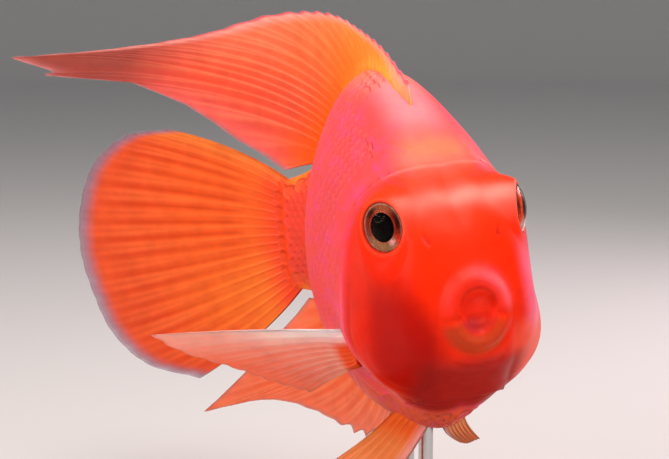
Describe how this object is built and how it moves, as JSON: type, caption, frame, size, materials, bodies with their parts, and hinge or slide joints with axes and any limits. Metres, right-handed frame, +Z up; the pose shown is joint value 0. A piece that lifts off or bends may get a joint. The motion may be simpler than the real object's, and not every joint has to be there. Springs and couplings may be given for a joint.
{
  "type": "blood parrot cichlid",
  "caption": "Life-size still model of a blood parrot cichlid turning to its right, deep round body, trailing dorsal and anal fins, held by rods on a round flat base.",
  "frame": {"origin": "centre of the stand base's underside, on the surface that the model stands on", "axes": "+Z up, the fish's head faces -Y, its left side is +X and its tail bends towards -X"},
  "size_m": [0.1602, 0.1734, 0.1597],
  "materials": {
    "skin_head": "wet, smooth red-orange skin",
    "skin_body": "wet pink-red skin with fine scales",
    "fin": "thin orange membrane over fin rays",
    "paired_fin": "thin pink-orange membrane over fin rays",
    "eye": "clear, wet and dark",
    "stand_wood": "dark stained, satin",
    "stand_rod": "brushed"
  },
  "bodies": {
    "root": {"head": "skin_head", "trunk": "skin_body", "tail_stalk": "skin_body", "dorsal_fin_spiny": "fin", "dorsal_fin_soft": "fin", "anal_fin_spiny": "fin", "anal_fin_soft": "fin", "caudal_fin": "fin", "pectoral_fin_right": "paired_fin", "pectoral_fin_left": "paired_fin", "pelvic_fin_right": "paired_fin", "pelvic_fin_left": "paired_fin", "eye_right": "eye", "eye_left": "eye", "stand_base": "stand_wood", "stand_rod_front": "stand_rod", "stand_rod_rear": "stand_rod"}
  },
  "joints": []
}
